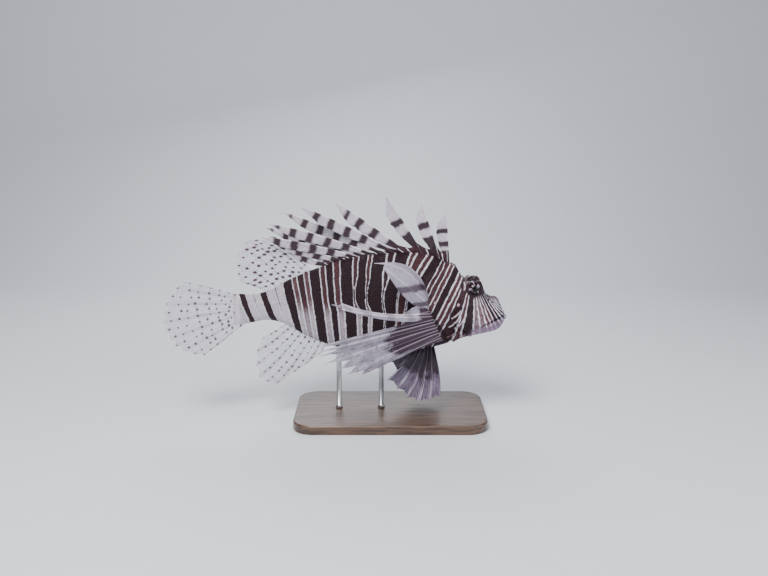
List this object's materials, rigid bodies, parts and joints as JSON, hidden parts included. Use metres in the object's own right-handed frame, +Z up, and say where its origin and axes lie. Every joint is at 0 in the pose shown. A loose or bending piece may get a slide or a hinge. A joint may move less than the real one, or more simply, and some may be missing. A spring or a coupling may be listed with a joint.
{
  "type": "red lionfish",
  "caption": "Still, life-size red lionfish with striped body, free venomous back spines and leaf-like fins spread, hovering on a flat base with short rods.",
  "frame": {"origin": "middle of the stand base's underside", "axes": "+X towards the snout, +Y towards the fish's left side, +Z up; the right flank faces -Y"},
  "size_m": [0.3001, 0.1606, 0.2001],
  "materials": {
    "skin": "satin, striped dark plum and pale lavender-white",
    "fin": "satin, thin and spotted, partly see-through",
    "eye": "polished, wet",
    "stand_base": "dark stained, satin lacquer",
    "stand_rod": "brushed"
  },
  "bodies": {
    "root": {"head": "skin", "torso": "skin", "tail_stem": "skin", "eye_left": "eye", "eye_right": "eye", "dorsal_fin_spiny": "fin", "dorsal_fin_soft": "fin", "tail_fin": "fin", "anal_fin": "fin", "pectoral_fin_left": "fin", "pectoral_fin_right": "fin", "pelvic_fin_left": "fin", "pelvic_fin_right": "fin", "stand_base": "stand_base", "stand_rod_front": "stand_rod", "stand_rod_rear": "stand_rod"}
  },
  "joints": []
}
